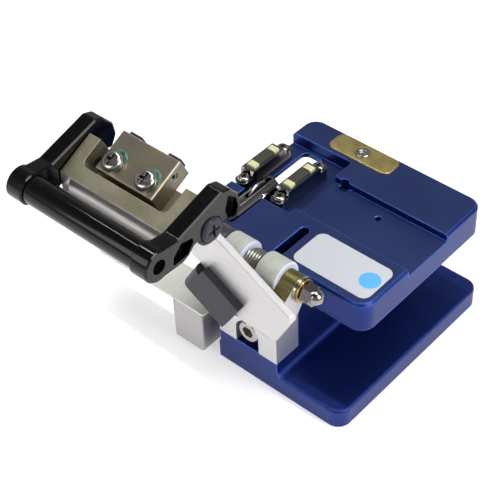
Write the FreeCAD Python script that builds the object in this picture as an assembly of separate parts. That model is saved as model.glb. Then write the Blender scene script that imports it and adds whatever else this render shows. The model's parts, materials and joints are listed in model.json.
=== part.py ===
"""Optical fibre cleaver: a bench tool that grips a bare fibre, scores it and leaves a flat end.

A blue base carries a raised deck with two rubber-faced anvils.  A lid with two clamp pads swings
over them on a hinge at the back, and its handle frame rocks on two pivot screws.  A slider below
the deck carries a round blade under the fibre.  The fibre lies along X, the slider runs along Y.
Millimetres, Z up, the user at +Y.  The origin is the centre of the underside of the base.
The lid is drawn open, and closes by turning forward about the hinge.
"""
import FreeCAD, Part
import math
import os
from FreeCAD import Vector as V

# ---- clearances ----
bolt_gap = 0.05        # screw shank in its hole, on the radius
turn_gap = 0.05        # turning bore on its pin, on the radius
side_gap = 0.4         # between parts that turn side by side
slide_gap = 0.3        # slider to what it runs past
pilot_gap = 0.1        # small screw shank in its hole, on the radius
hole_gap = 0.15        # screw shank in a cleared hole, on the radius
rubber_ahead = 1.0     # middle of the anvil's cap and strip, in front of the fibre
loose_gap = 0.15       # sleeve or spring on the hinge shaft, on the radius

# ---- base and deck ----
base_wide = 77.0
base_deep = 81.0
base_thick = 7.75
base_corner = 5.0
step_high = 13.8       # ledge that the hinge bracket stands on
riser_left = -15.5
riser_right = 10.5
riser_front = -29.0
riser_back = 31.5
riser_fillet = 2.5
deck_bottom = 36.4
deck_thick = 11.75
deck_inset = 1.0       # deck edge inside the right edge of the base
deck_front = -27.9
deck_back = 39.1
deck_corner = 5.5
edge_round = 0.9

# ---- cutting station ----
cut_x = -27.2          # plane of the blade
fibre_y = 7.9          # line of the fibre
anvil_pitch = 16.6
anvil_wide = 5.6
anvil_long = 27.0
anvil_y = 7.0
rubber_long = 13.4
rubber_proud = 0.9
rubber_deep = 2.2
rubber_wide = 3.8
groove_deep = 2.9
groove_front = -4.2
groove_back = 17.5
recess_deep = 4.9
recess_front = -7.6
recess_back = 27.0
recess_right = -11.0
slot_wide = 8.6
slot_front = -24.6
slot_back = 21.5
latch_slot_x = -1.3
latch_slot_wide = 3.6
latch_slot_back = -9.5
pin_hole_x = 12.4
pin_hole_y = 11.9
pin_hole_wide = 2.4
relief_wide = 3.6
keeper_x = -11.0
keeper_y = 33.2
keeper_wide = 21.5
keeper_deep = 9.4
keeper_corner = 3.0
keeper_thick = 1.8
keeper_proud = 0.6

# ---- hinge ----
hinge_y = -36.9
hinge_z = 53.0
shaft_wide = 5.0
ear_left = 8.5
ear_right = 18.6
ear_round = 4.5
sleeve_round = 5.5
sleeve_flange = 6.4
flange_thick = 1.5
sleeve_left_long = 9.5
spring_turns = 5
spring_wire = 0.9
spring_round = 4.4     # mean radius of the coil
block_deep = 11.5
block_top = 25.4
web_front = -47.3      # front plane of the diagonal web
web_thick = 2.7
stop_thick = 3.0
washer_round = 4.6
washer_thick = 0.9
nut_flats = 8.0
nut_long = 4.2
dome_long = 3.6

# ---- lid ----
lid_tilt = 25.5        # slope of the lid face when open, degrees
lid_y = -73.2          # front top edge of the lid body, open
lid_z = 90.8
lid_x = -24.6
lid_wide = 46.2
lid_long = 15.0
lid_deep = 13.5
rim_bar = 4.9
rim_leg = 4.85
lid_nose = 4.2         # how far the rounded front stands out
nose_flat_wide = 4.7   # flat left end of the rounded front
edge_break = 0.3
rim_floor = 9.2        # depth of the pocket floor below the lid face
clamp_wide = 24.4
clamp_near = 6.75
clamp_long = 14.95
clamp_sunk = 1.7
clamp_pad_long = 1.2
clamp_pad_thick = 4.0
clamp_screw_pitch = 14.3
clamp_screw_wide = 3.5
clamp_screw_tip = 2.4  # its tip above the underside of the lid
clamp_head_wide = 7.2
clamp_head_long = 2.8
pivot_y = -62.0
pivot_z = 89.1
pivot_wide = 4.0
pivot_head_wide = 8.4
pivot_sink = 1.0       # depth of the seat of its head
pivot_ring = 5.6       # radius of the raised ring round the pivot screw
foot_y = -55.7         # foot of the lid arm
foot_z = 81.2
foot_round = 4.4
arm_left = -29.0
arm_right = -20.9
hub_round = 5.2
tube_y = -84.0
tube_z = 90.1
tube_round = 4.85
tube_bore = 1.6
tube_head_wide = 4.7
tube_sink = 3.4
cheek_thick = 6.5
cheek_break = 0.5      # chamfer on the right rim
cheek_round = 1.3      # cast round on the left rim
cheek_gap = 0.4

# ---- blade slider ----
slider_wide = 14.0
slider_front = -45.0
slider_end_long = 10.0
slider_low = 2.8
slider_top = 23.5
slider_travel = 16.5
rail_front = -9.5
rail_back = 36.5
rail_wide = 3.6
rail_low = 20.0
rail_high = 28.0
blade_round = 6.0
blade_thick = 1.0
blade_y = -5.5
blade_z = 45.4
blade_axle = 2.0
housing_back = -19.7
housing_front = 1.9
housing_low = 39.0
housing_z = 45.6
housing_round = 3.9
shield_left = -69.0
shield_right = -17.4
shield_thick = 0.8

deck_top = deck_bottom + deck_thick
rubber_y = fibre_y - rubber_ahead
base_left = -base_wide / 2
base_right = base_wide / 2
base_front = -base_deep / 2
deck_right = base_right - deck_inset
recess_floor = deck_top - recess_deep
slider_x = cut_x
rubber_top = deck_top + 3.35
web_back = web_front + web_thick
parts = {}


def box(x0, x1, y0, y1, z0, z1):
    return Part.makeBox(x1 - x0, y1 - y0, z1 - z0, V(x0, y0, z0))


def rod(start, along, length, radius):
    return Part.makeCylinder(radius, length, V(*start), V(*along))


def rod_x(x0, x1, y, z, radius):
    return rod((x0, y, z), (1, 0, 0), x1 - x0, radius)


def rod_y(y0, y1, x, z, radius):
    return rod((x, y0, z), (0, 1, 0), y1 - y0, radius)


def rod_z(z0, z1, x, y, radius):
    return rod((x, y, z0), (0, 0, 1), z1 - z0, radius)


def outline_yz(points, x0, x1):
    """Straight-sided outline in the YZ plane, drawn out along X from x0 to x1."""
    corners = [V(x0, y, z) for y, z in points]
    face = Part.Face(Part.makePolygon(corners + corners[:1]))
    return face.extrude(V(x1 - x0, 0, 0))


def outline_xz(points, y0, y1):
    """Straight-sided outline in the XZ plane, drawn out along Y from y0 to y1."""
    corners = [V(x, y0, z) for x, z in points]
    face = Part.Face(Part.makePolygon(corners + corners[:1]))
    return face.extrude(V(0, y1 - y0, 0))


def lid_point(u, w):
    """A place on the open lid: u along its face from the front edge, w above the face."""
    turn = math.radians(lid_tilt)
    y = lid_y + u * math.cos(turn) - w * math.sin(turn)
    z = lid_z + u * math.sin(turn) + w * math.cos(turn)
    return y, z


def lid_box(x0, x1, u0, u1, w0, w1):
    corners = [lid_point(u0, w0), lid_point(u1, w0), lid_point(u1, w1), lid_point(u0, w1)]
    return outline_yz(corners, x0, x1)


def lid_rod(x, u, w0, w1, radius):
    """Round bar square to the lid face."""
    y, z = lid_point(u, w0)
    turn = math.radians(lid_tilt)
    return rod((x, y, z), (0, -math.sin(turn), math.cos(turn)), w1 - w0, radius)


def edges_along(shape, direction, test):
    """Straight edges parallel to a direction whose middle passes the test."""
    found = []
    for edge in shape.Edges:
        if len(edge.Vertexes) != 2 or not isinstance(edge.Curve, Part.Line):
            continue
        span = edge.Vertexes[1].Point.sub(edge.Vertexes[0].Point)
        span.normalize()
        if abs(span.dot(V(*direction))) > 0.999 and test(edge.CenterOfMass):
            found.append(edge)
    return found


def round_upright(shape, radius, test=lambda p: True):
    return shape.makeFillet(radius, edges_along(shape, (0, 0, 1), test))


def rounded_slab(x0, x1, y0, y1, z0, z1, corner):
    return round_upright(box(x0, x1, y0, y1, z0, z1), corner)


def top_rim(shape, height):
    """Edges of the outer wire of the highest flat face at a height."""
    for face in shape.Faces:
        if abs(face.CenterOfMass.z - height) < 0.001 and face.BoundBox.ZLength < 0.001:
            return face.OuterWire.Edges
    return []


def slot_z(x, y0, y1, z0, z1, wide):
    """Upright slot along Y with round ends."""
    r = wide / 2
    body = box(x - r, x + r, y0 + r, y1 - r, z0, z1)
    return body.fuse([rod_z(z0, z1, x, y0 + r, r), rod_z(z0, z1, x, y1 - r, r)]).removeSplitter()


def hull(y0, z0, r0, y1, z1, r1, x0, x1):
    """Two discs in the YZ plane joined by their outer tangents."""
    gap = math.hypot(y1 - y0, z1 - z0)
    lean = math.atan2(z1 - z0, y1 - y0)
    half = math.acos((r0 - r1) / gap)
    points = []
    for y, z, r in ((y0, z0, r0), (y1, z1, r1)):
        for turn in (lean + half, lean - half):
            points.append((y + r * math.cos(turn), z + r * math.sin(turn)))
    body = outline_yz([points[0], points[2], points[3], points[1]], x0, x1)
    ends = [rod_x(x0, x1, y0, z0, r0), rod_x(x0, x1, y1, z1, r1)]
    return body.fuse(ends).removeSplitter()


def socket_screw(tip, along, length, wide, head_wide, head_long):
    """Hexagon socket screw: the tip, the way from tip to head, shank length and head."""
    d = V(*along)
    shank = Part.makeCylinder(wide / 2, length, V(*tip), d)
    seat = V(*tip).add(d * length)
    head = Part.makeCylinder(head_wide / 2, head_long, seat, d)
    head = head.makeChamfer(head_wide * 0.05, [head.Edges[0]])
    key = hex_bar(seat.add(d * (head_long * 0.45)), d, head_long, wide * 0.85)
    return shank.fuse(head).cut(key).removeSplitter()


def hex_bar(start, along, length, flats):
    side = along.cross(V(0, 0, 1))
    if side.Length < 0.01:
        side = V(1, 0, 0)
    side.normalize()
    other = along.cross(side)
    reach = flats / math.sqrt(3)
    ring = []
    for i in range(6):
        turn = math.radians(60 * i)
        ring.append(start.add(side * (reach * math.cos(turn))).add(other * (reach * math.sin(turn))))
    return Part.Face(Part.makePolygon(ring + ring[:1])).extrude(along * length)


def pan_screw(tip, along, length, wide, head_wide, head_long):
    """Cross-recess pan-head screw with a domed head."""
    d = V(*along)
    shank = Part.makeCylinder(wide / 2, length, V(*tip), d)
    seat = V(*tip).add(d * length)
    head = Part.makeCylinder(head_wide / 2, head_long, seat, d)
    head = head.makeFillet(head_long * 0.55, [head.Edges[0]])
    side = d.cross(V(1, 0, 0)) if abs(d.x) < 0.9 else d.cross(V(0, 1, 0))
    side.normalize()
    blade = wide * 0.26
    reach = head_wide * 0.29
    cross = []
    for arm in (side, d.cross(side)):
        thin = d.cross(arm) * (blade / 2)
        centre = seat.add(d * (head_long * 0.35))
        corners = [centre.add(arm * (a * reach)).add(thin * b) for a, b in ((-1, -1), (1, -1), (1, 1), (-1, 1))]
        cross.append(Part.Face(Part.makePolygon(corners + corners[:1])).extrude(d * head_long))
    return shank.fuse(head).cut(cross).removeSplitter()


# ---- base group ----
def deck_screw_places():
    return [(x, y) for x in (riser_left + 6, riser_right - 6) for y in (-18.0, 22.0)]


def base_plate():
    body = rounded_slab(base_left, base_right, base_front, -base_front, 0, base_thick, base_corner)
    body = body.makeFillet(edge_round, top_rim(body, base_thick))
    step = box(riser_left, riser_right, base_front, riser_front + 1, base_thick - 1, step_high)
    riser = box(riser_left, riser_right, riser_front, riser_back, base_thick - 1, deck_bottom)
    front_fill = box(riser_left, riser_right, base_front, base_front + 3, 0, base_thick)
    body = body.fuse([step, riser, front_fill]).removeSplitter()
    foot = edges_along(body, (0, 1, 0), lambda p: abs(p.z - base_thick) < 0.01 and abs(p.x - riser_right) < 0.01)
    body = body.makeFillet(riser_fillet, foot)
    notch_back = slider_front + slider_end_long + slider_travel + 4
    notch = box(base_left - 1, riser_left - 0.8, base_front - 1, notch_back, -1, base_thick + 1)
    notch = round_upright(notch, 3.0, lambda p: p.y > -20 and p.x > base_left)
    body = body.cut(notch)
    for x, y in deck_screw_places():
        body = body.cut(rod_z(-1, deck_bottom + 1, x, y, 2 + hole_gap))
        body = body.cut(rod_z(-1, 4.6, x, y, 3.8))
    body = body.cut(rod_y(riser_front - 1, riser_front + 12, bracket_screw_x(), bracket_screw_z(), 2.5 + bolt_gap))
    for y in rail_screw_places():
        body = body.cut(rod_x(riser_left - 1, riser_left + 7, y, (rail_low + rail_high) / 2, 1.25 + bolt_gap))
    return body


def deck_plate():
    body = rounded_slab(base_left, deck_right, deck_front, deck_back, deck_bottom, deck_top, deck_corner)
    body = body.makeChamfer(edge_round, top_rim(body, deck_top))
    groove = box(recess_right - 1, deck_right + 1, groove_front, groove_back, deck_top - groove_deep, deck_top + 1)
    recess = box(base_left - 1, recess_right, recess_front, recess_back, recess_floor, deck_top + 1)
    recess = round_upright(recess, 1.5, lambda p: p.x > recess_right - 1)
    slot = slot_z(cut_x, slot_front, slot_back, deck_bottom - 1, deck_top + 1, slot_wide)
    latch = slot_z(latch_slot_x, deck_front - 6, latch_slot_back, deck_bottom - 1, deck_top + 1, latch_slot_wide)
    relief = rod_z(deck_top - groove_deep - 2, deck_top + 1, recess_right + 4.5, groove_back - 0.6, relief_wide / 2)
    pin = rod_z(deck_top - groove_deep - 4, deck_top, pin_hole_x, pin_hole_y, pin_hole_wide / 2)
    body = body.cut([groove, recess, slot, latch, relief, pin])
    body = body.cut(keeper_blank(bolt_gap, keeper_thick - keeper_proud + 1))
    body = body.cut(rod_z(deck_top - 8, deck_top, keeper_x, keeper_y, 1.5 + bolt_gap))
    for x, y in anvil_screw_places():
        body = body.cut(rod_z(recess_floor - 5, recess_floor, x, y, 1.25 + bolt_gap))
    for x, y in deck_screw_places():
        body = body.cut(rod_z(deck_bottom - 1, deck_bottom + 7.5, x, y, 2 + bolt_gap))
    return body


def keeper_blank(gap, height):
    x0 = keeper_x - keeper_wide / 2 - gap
    y0 = keeper_y - keeper_deep / 2 - gap
    z0 = deck_top - keeper_thick + keeper_proud
    return rounded_slab(x0, -x0 + 2 * keeper_x, y0, -y0 + 2 * keeper_y, z0, z0 + height, keeper_corner)


def keeper_plate():
    body = keeper_blank(0, keeper_thick)
    body = body.makeFillet(0.4, top_rim(body, deck_top + keeper_proud))
    body = body.cut(rod_z(deck_top - 3, deck_top + 3, keeper_x, keeper_y, 1.5 + bolt_gap))
    return body.cut(rod_z(deck_top + keeper_proud - 0.9, deck_top + 3, keeper_x, keeper_y, 2.9))


def keeper_screw():
    tip = (keeper_x, keeper_y, deck_top - 7)
    return socket_screw(tip, (0, 0, 1), 7 + keeper_proud - 0.9, 3.0, 5.5, 1.3)


def deck_screws():
    low = 4.6
    screws = []
    for x, y in deck_screw_places():
        screws.append(socket_screw((x, y, deck_bottom + 7), (0, 0, -1), deck_bottom + 7 - low, 4.0, 7.0, 4.0))
    return Part.makeCompound(screws)


# ---- anvils ----
def anvil_x(side):
    return cut_x + side * anvil_pitch / 2


def anvil_ends():
    reach = anvil_long / 2 - 2.9
    return anvil_y - reach, anvil_y + reach


def anvil_screw_places():
    return [(anvil_x(side), y) for side in (-1, 1) for y in anvil_ends()]


def anvil(side):
    """Steel bar with two raised caps that hold the rubber between them."""
    x = anvil_x(side)
    low = recess_floor + 4.6
    high = rubber_top - rubber_proud
    y0 = anvil_y - anvil_long / 2
    y1 = anvil_y + anvil_long / 2
    body = rounded_slab(x - anvil_wide / 2, x + anvil_wide / 2, y0, y1, recess_floor, low, 2.2)
    middle = rubber_long / 2 + 2.2
    cap = box(x - anvil_wide / 2, x + anvil_wide / 2, rubber_y - middle, rubber_y + middle, low - 1, high)
    cap = cap.makeChamfer(0.6, edges_along(cap, (1, 0, 0), lambda p: p.z > high - 0.1))
    body = body.fuse(cap).removeSplitter()
    body = body.cut(rubber_blank(side))
    for y in anvil_ends():
        body = body.cut(rod_z(recess_floor - 1, high + 1, x, y, 1.25 + bolt_gap))
        body = body.cut(rod_z(low - 0.6, high + 1, x, y, 2.45))
    return body


def rubber_blank(side):
    x = anvil_x(side)
    low = rubber_top - rubber_proud - rubber_deep
    half = rubber_long / 2
    return box(x - rubber_wide / 2, x + rubber_wide / 2,
               rubber_y - half, rubber_y + half, low, rubber_top)


def anvil_rubber(side):
    body = rubber_blank(side)
    return body.makeFillet(0.5, edges_along(body, (0, 1, 0), lambda p: p.z > rubber_top - 0.1))


def anvil_screws():
    low = recess_floor + 4.0
    return Part.makeCompound([pan_screw((x, y, recess_floor - 4), (0, 0, 1), low - recess_floor + 4, 2.5, 4.6, 1.9)
                              for x, y in anvil_screw_places()])


# ---- hinge bracket ----
def bracket_screw_x():
    return -2.7


def bracket_screw_z():
    return step_high + 6.7


def web_line(x):
    """Lower edge of the diagonal web above a place on X."""
    return 35.2 + (10.6 - x) * 0.6


def hinge_bracket():
    back = riser_front
    block = box(riser_left, riser_right, base_front, back, step_high, block_top)
    front_edge = edges_along(block, (1, 0, 0), lambda p: p.y < base_front + 0.1 and p.z > step_high + 1)
    block = block.makeFillet(1.2, front_edge)
    neck_shape = [(base_front + 0.6, block_top - 3), (base_front, block_top), (web_front + 0.2, 35.2),
                  (web_front + 0.2, 40), (web_back, 46.6), (hinge_y + 4, 46.6), (back, 30.2), (back, block_top - 3)]
    neck = outline_yz(neck_shape, -0.5, riser_right)
    ear = bracket_ear()
    web = diagonal_web()
    body = block.fuse([neck, ear, web]).removeSplitter()
    bore = rod_x(ear_left - 1, ear_right + 1, hinge_y, hinge_z, shaft_wide / 2 + bolt_gap)
    x = bracket_screw_x()
    z = bracket_screw_z()
    hole = rod_y(base_front - 1, back + 1, x, z, 2.5 + hole_gap)
    pocket = rod_y(base_front - 1, base_front + 5, x, z, 5.1)
    pocket = pocket.fuse(box(x - 5.1, x + 5.1, base_front - 1, base_front + 5, step_high - 1, z))
    return body.cut([bore, hole, pocket])


def bracket_ear():
    profile = [(web_back - 0.5, 42.7), (hinge_y - 1.6, 42.7), (hinge_y + 3.6, hinge_z - 2.7),
               (hinge_y + 0.6, hinge_z + ear_round - 0.05), (hinge_y - 1.9, hinge_z + ear_round - 0.5),
               (web_back - 0.5, hinge_z - 0.6)]
    slab = outline_yz(profile, ear_left, ear_right)
    return slab.fuse(rod_x(ear_left, ear_right, hinge_y, hinge_z, ear_round)).removeSplitter()


def diagonal_web():
    """Flat bar across the front of the bracket, rising to the left behind the lid."""
    left = arm_right + side_gap
    lean = math.atan(0.6)
    wide = 17.2
    up = wide / math.cos(lean)
    corner = (23.9, 49.4)
    shape = [(10.6, web_line(10.6)), (16.3, 34.9), corner, (left + 6, web_line(left + 6) + up),
             (left, web_line(left) + up - 5), (left, web_line(left))]
    web = outline_xz(shape, web_front, web_back)
    tips = edges_along(web, (0, 1, 0), lambda p: p.x > 16)
    web = web.makeFillet(2.0, tips)
    rim = [e for e in web.Edges if abs(e.CenterOfMass.y - web_front) < 0.01]
    return web.makeChamfer(0.3, rim)


def stop_plate():
    """Black plate on the front of the web, bent back at its upper end."""
    lean = math.atan(0.6)
    start = (3.0, web_line(3.0) + 3.2)
    long = 17.5
    wide = 15.0
    ux = (-math.cos(lean), math.sin(lean))
    dx = (-math.sin(lean), -math.cos(lean))
    near = [start, (start[0] + ux[0] * long, start[1] + ux[1] * long)]
    far = [(p[0] + dx[0] * wide, p[1] + dx[1] * wide) for p in reversed(near)]
    plate = outline_xz(near + far, web_front - stop_thick, web_front)
    turn = [near[1], (near[1][0] + ux[0] * 3, near[1][1] + ux[1] * 3)]
    turn_far = [(p[0] + dx[0] * wide, p[1] + dx[1] * wide) for p in reversed(turn)]
    skip = 3.6
    lower = [(p[0] + dx[0] * skip, p[1] + dx[1] * skip) for p in turn]
    leg = outline_xz(lower + turn_far, web_front - stop_thick, web_front + 4)
    body = plate.fuse(leg).removeSplitter()
    tangent = V(dx[0], 0, dx[1])
    bend = edges_along(body, (tangent.x, 0, tangent.z),
                       lambda p: p.y < web_front - stop_thick + 0.1 and p.x < turn[0][0] - 1)
    return body.makeFillet(2.6, bend)


def bracket_screw():
    seat = base_front + 5
    tip = (bracket_screw_x(), riser_front + 10, bracket_screw_z())
    return socket_screw(tip, (0, -1, 0), riser_front + 10 - seat, 5.0, 8.5, 4.6)


def hinge_shaft():
    """Shoulder shaft with a head at the left of the lid arm and a thread under the cap nut."""
    left = arm_left - side_gap
    right = ear_right + 2 * washer_thick + nut_long - 0.6
    shaft = rod_x(left, right, hinge_y, hinge_z, shaft_wide / 2)
    head = rod_x(left - 2.6, left, hinge_y, hinge_z, 4.0)
    head = head.makeFillet(0.8, [head.Edges[2]] if head.Edges[2].CenterOfMass.x < left - 1 else [head.Edges[0]])
    return shaft.fuse(head).removeSplitter()


def hub_right():
    return sleeve_left_start() - side_gap


def sleeve_left_start():
    return spring_left() - sleeve_left_long


def spring_left():
    return sleeve_right_start() - spring_turns * spring_wire - spring_wire


def sleeve_right_start():
    return ear_left - side_gap - 6.7


def sleeve_left():
    body = rod_x(sleeve_left_start(), spring_left() - 0.05, hinge_y, hinge_z, sleeve_round)
    body = body.makeFillet(0.7, [e for e in body.Edges if isinstance(e.Curve, Part.Circle)])
    return body.cut(rod_x(-60, 60, hinge_y, hinge_z, shaft_wide / 2 + loose_gap))


def sleeve_right():
    x0 = sleeve_right_start() + 0.05
    x1 = ear_left - 0.1
    body = rod_x(x0, x1, hinge_y, hinge_z, sleeve_round)
    flange = rod_x(x1 - flange_thick, x1, hinge_y, hinge_z, sleeve_flange)
    body = body.fuse(flange).removeSplitter()
    rims = [e for e in body.Edges if isinstance(e.Curve, Part.Circle) and e.CenterOfMass.x < x1 - flange_thick - 1]
    body = body.makeFillet(0.7, rims)
    return body.cut(rod_x(-60, 60, hinge_y, hinge_z, shaft_wide / 2 + loose_gap))


def hinge_spring():
    """Torsion spring of touching turns round the shaft, with a tail that rests on the bracket."""
    high = spring_turns * (spring_wire + 0.02)
    coil = Part.makeHelix(spring_wire + 0.02, high, spring_round)
    start = V(spring_round, 0, 0)
    ring = Part.Wire([Part.Circle(start, V(0, 1, 0.03), spring_wire / 2 - 0.01).toShape()])
    solid = Part.Wire(coil.Edges).makePipeShell([ring], True, True)
    solid.rotate(V(0, 0, 0), V(0, 1, 0), 90)
    solid.rotate(V(0, 0, 0), V(1, 0, 0), 180)
    solid.translate(V(spring_left() + spring_wire / 2, hinge_y, hinge_z))
    return solid


def cap_nut():
    x0 = ear_right + 2 * washer_thick
    body = hex_bar(V(x0, hinge_y, hinge_z), V(1, 0, 0), nut_long, nut_flats)
    tip = V(x0 + nut_long + 0.2, hinge_y, hinge_z)
    cone = Part.makeCone(nut_flats / 2 - 0.1, nut_flats / 2 + 4.2, 4.3, tip, V(-1, 0, 0))
    body = body.common(cone)
    dome = Part.makeSphere(nut_flats / 2 - 0.5, V(x0 + nut_long - 0.4, hinge_y, hinge_z))
    dome = dome.common(rod_x(x0 + nut_long - 0.6, x0 + nut_long + dome_long, hinge_y, hinge_z, 6))
    body = body.fuse(dome).removeSplitter()
    return body.cut(rod_x(x0 - 1, x0 + nut_long - 0.5, hinge_y, hinge_z, shaft_wide / 2 + bolt_gap))


def hinge_washer(order):
    x0 = ear_right + order * washer_thick
    body = rod_x(x0, x0 + washer_thick, hinge_y, hinge_z, washer_round - 0.5 * order)
    return body.cut(rod_x(x0 - 1, x0 + 2, hinge_y, hinge_z, shaft_wide / 2 + bolt_gap))


# ---- lid ----
def lid_left():
    return lid_x - lid_wide / 2


def lid_right():
    return lid_x + lid_wide / 2


def lid_body():
    """Milled body: a U-shaped rim round the clamp, a rounded front and a floor under the clamp."""
    x0 = lid_left()
    x1 = lid_right()
    body = lid_box(x0, x1, 0, lid_long, -lid_deep, 0)
    top = lid_point(-edge_break, 0)
    low = lid_point(-edge_break, -lid_deep)
    bulge = lid_point(-lid_nose, -lid_deep / 2)
    start = x0 + nose_flat_wide
    arc = Part.Arc(V(start, *top), V(start, *bulge), V(start, *low)).toShape()
    sides = [V(start, *low), V(start, *lid_point(1, -lid_deep)), V(start, *lid_point(1, 0)), V(start, *top)]
    lines = [Part.makeLine(sides[i], sides[i + 1]) for i in range(3)]
    front = Part.Face(Part.Wire([arc] + lines)).extrude(V(x1 - start, 0, 0))
    flat = [lid_point(1, 0), lid_point(-edge_break, 0), lid_point(-lid_nose * 0.8, -lid_deep * 0.45),
            lid_point(-lid_nose * 0.8, -lid_deep), lid_point(1, -lid_deep)]
    body = body.fuse([front, outline_yz(flat, x0, start)]).removeSplitter()
    pocket = lid_box(x0 + rim_leg, x1 - rim_leg, rim_bar, lid_long + 5, -rim_floor, 1)
    corners = [e for e in pocket.Edges if is_lid_upright(e) and lid_u(e.CenterOfMass) < rim_bar + 1]
    pocket = pocket.makeFillet(2.5, corners)
    body = body.cut(pocket)
    for side in (-1, 1):
        bore = lid_rod(clamp_screw_x(side), clamp_screw_u(), -lid_deep - 2, 0, clamp_screw_wide / 2 + bolt_gap)
        body = body.cut(bore)
    body = body.cut(rod_x(x0 - 1, x0 + rim_leg + 1, pivot_y, pivot_z, pivot_wide / 2 + bolt_gap))
    body = body.cut(rod_x(x1 - rim_leg - 1, x1 + 1, pivot_y, pivot_z, pivot_wide / 2 + bolt_gap))
    return body.cut(arm_blank())


def lid_u(point):
    turn = math.radians(lid_tilt)
    return (point.y - lid_y) * math.cos(turn) + (point.z - lid_z) * math.sin(turn)


def is_lid_upright(edge):
    span = edge.Vertexes[1].Point.sub(edge.Vertexes[0].Point)
    span.normalize()
    turn = math.radians(lid_tilt)
    return abs(span.dot(V(0, -math.sin(turn), math.cos(turn)))) > 0.999


def clamp_screw_u():
    return clamp_near + 4.2


def clamp_screw_x(side):
    return cut_x + side * clamp_screw_pitch / 2


def clamp_block():
    x0 = cut_x - clamp_wide / 2
    x1 = cut_x + clamp_wide / 2
    body = lid_box(x0, x1, clamp_near, clamp_near + clamp_long, -rim_floor, -clamp_sunk)
    rim = [e for e in body.Edges if is_on_lid(e, -clamp_sunk)]
    body = body.makeChamfer(0.35, rim)
    for side in (-1, 1):
        x = clamp_screw_x(side)
        body = body.cut(lid_rod(x, clamp_screw_u(), -rim_floor - 1, 0, clamp_screw_wide / 2 + hole_gap))
    y, z = lid_point(clamp_near + clamp_long - 4.6, -clamp_sunk - 2.6)
    return body.cut(rod_x(x1 - 4, x1 + 1, y, z, 1.5 + bolt_gap))


def is_on_lid(edge, w):
    turn = math.radians(lid_tilt)
    ends = [-(v.Point.y - lid_y) * math.sin(turn) + (v.Point.z - lid_z) * math.cos(turn) for v in edge.Vertexes]
    return all(abs(end - w) < 0.001 for end in ends)


def clamp_screws():
    turn = math.radians(lid_tilt)
    along = (0, -math.sin(turn), math.cos(turn))
    screws = []
    for side in (-1, 1):
        y, z = lid_point(clamp_screw_u(), clamp_screw_tip - lid_deep)
        tip = (clamp_screw_x(side), y, z)
        long = lid_deep - clamp_screw_tip - clamp_sunk
        screws.append(pan_screw(tip, along, long, clamp_screw_wide, clamp_head_wide, clamp_head_long))
    return Part.makeCompound(screws)


def clamp_set_screw():
    y, z = lid_point(clamp_near + clamp_long - 4.6, -clamp_sunk - 2.6)
    x1 = cut_x + clamp_wide / 2
    body = rod_x(x1 - 3.8, x1 - 0.3, y, z, 1.5)
    return body.cut(hex_bar(V(x1 - 1.6, y, z), V(1, 0, 0), 3, 1.5))


def clamp_pad(side):
    x = anvil_x(side)
    u0 = clamp_near + clamp_long
    middle = -(rim_floor + clamp_sunk) / 2
    half = clamp_pad_thick / 2
    body = lid_box(x - 2.4, x + 2.4, u0, u0 + clamp_pad_long, middle - half, middle + half)
    return body


def arm_blank():
    """Outline of the lid arm: hub on the shaft, straight limb, foot under the lid body."""
    return hull(hinge_y, hinge_z, hub_round, foot_y, foot_z, foot_round, arm_left, arm_right)


def lid_arm():
    body = arm_blank()
    hub = rod_x(arm_left, hub_right(), hinge_y, hinge_z, hub_round - 0.4)
    body = body.fuse(hub).removeSplitter()
    return body.cut(rod_x(arm_left - 1, hub_right() + 1, hinge_y, hinge_z, shaft_wide / 2 + turn_gap))


def pivot_screw(side):
    """Black cross-recess screw whose plain shoulder carries the cheek."""
    edge = lid_left() if side < 0 else lid_right()
    tip = (edge - side * (rim_leg - 0.4), pivot_y, pivot_z)
    long = rim_leg - 0.4 + cheek_gap + cheek_thick - pivot_sink + 0.05
    return pan_screw(tip, (side, 0, 0), long, pivot_wide, pivot_head_wide, 2.2)


# ---- handle frame ----
def cheek(side):
    """Side plate of the handle: tube boss, elbow round the pivot screw and a broad leaf."""
    inner = (lid_left() - cheek_gap) if side < 0 else (lid_right() + cheek_gap)
    x0 = min(inner, inner + side * cheek_thick)
    x1 = max(inner, inner + side * cheek_thick)
    outline = [(tube_y - 0.6, tube_z + 5.6), (-75.5, 94.6), (-56.2, 100.1), (-52.9, 99.0), (-49.2, 94.6),
               (-48.4, 89.9), (-50.9, 85.6), (-58.0, 88.0), (-66.0, 88.4),
               (-69.4, 87.6), (-71.6, 85.5), (-74.2, 84.4), (tube_y + 1.6, tube_z - 5.4)]
    body = outline_yz(outline, x0, x1)
    body = body.makeFillet(1.6, edges_along(body, (1, 0, 0), lambda p: p.y > tube_y + 4))
    boss = rod_x(x0, x1, tube_y, tube_z, tube_round + 0.75)
    ring = rod_x(x0, x1, pivot_y, pivot_z, pivot_ring)
    outer = x1 if side > 0 else x0
    body = round_left(soft_end(body, x1), x0)
    body = body.fuse([soft_end(boss, x1), soft_end(ring, outer)]).removeSplitter()
    body = body.cut(cheek_pocket(outer, side))
    body = body.cut(rod((outer - side * pivot_sink, pivot_y, pivot_z), (side, 0, 0), 4, pivot_head_wide / 2 + 0.3))
    body = body.cut(rod_x(x0 - 1, x1 + 1, pivot_y, pivot_z, pivot_wide / 2 + turn_gap))
    bore = rod_x(x0 - 1, x1 + 1, tube_y, tube_z, tube_bore + bolt_gap)
    sink = rod((outer - side * tube_sink, tube_y, tube_z), (side, 0, 0), 6, tube_head_wide / 2 + 0.15)
    return body.cut([bore, sink])


def soft_end(body, x):
    """The body with the rim of its end face at x broken by a small chamfer."""
    rim = [e for e in body.Edges if all(abs(v.Point.x - x) < 0.001 for v in e.Vertexes)]
    return body.makeChamfer(cheek_break, rim)


def round_left(body, x):
    """The body with its rim at x, on the left, rolled over as cast."""
    rim = [e for e in body.Edges if all(abs(v.Point.x - x) < 0.001 for v in e.Vertexes)]
    return body.makeFillet(cheek_round, rim)


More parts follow.
